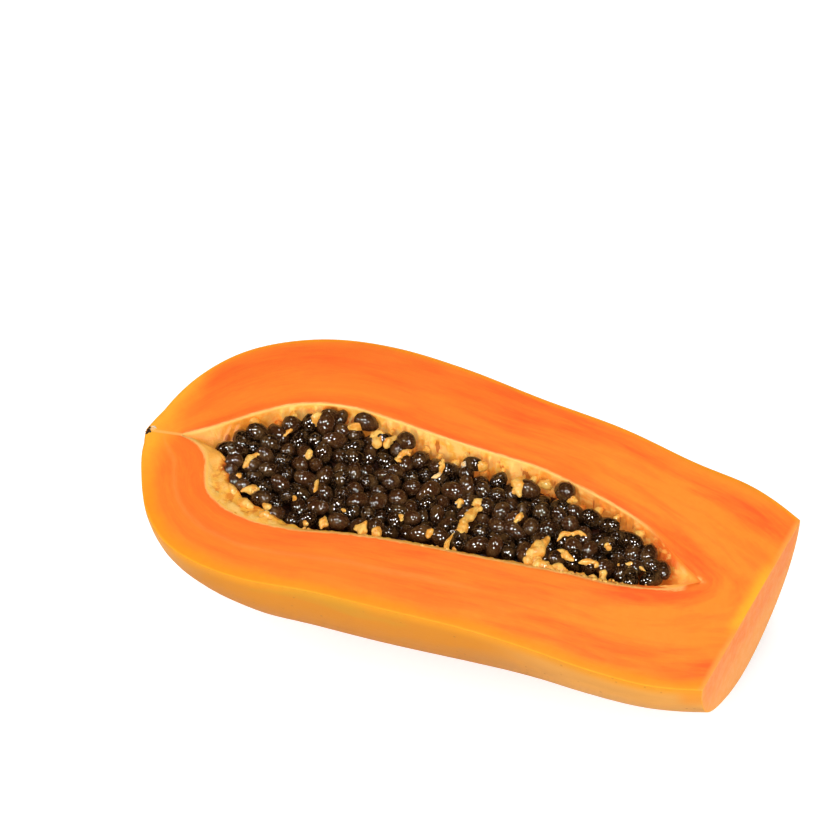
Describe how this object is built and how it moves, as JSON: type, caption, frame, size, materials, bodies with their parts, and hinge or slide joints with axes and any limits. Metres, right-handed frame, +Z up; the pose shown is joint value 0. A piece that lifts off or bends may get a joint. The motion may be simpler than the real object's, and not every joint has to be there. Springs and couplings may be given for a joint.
{
  "type": "papaya half",
  "caption": "Ripe papaya cut in half lengthways with its neck end cut off, lying cut face up, its cavity full of dark seeds.",
  "frame": {"origin": "middle of the bounding box's bottom, on the surface that the half lies on", "axes": "+X from the blossom tip towards the neck's cut end, +Y across the cut face towards its wider side, +Z up; the cut face dips 4.6 degrees towards the neck, as the half lies on its back"},
  "size_m": [0.235, 0.1268, 0.0635],
  "materials": {
    "flesh_and_skin": "moist orange flesh, yellow-orange skin with a soft sheen",
    "seed_black": "wet, glossy, dark brown to black"
  },
  "bodies": {
    "root": {"fruit_half": "flesh_and_skin", "seeds": "seed_black"}
  },
  "joints": []
}
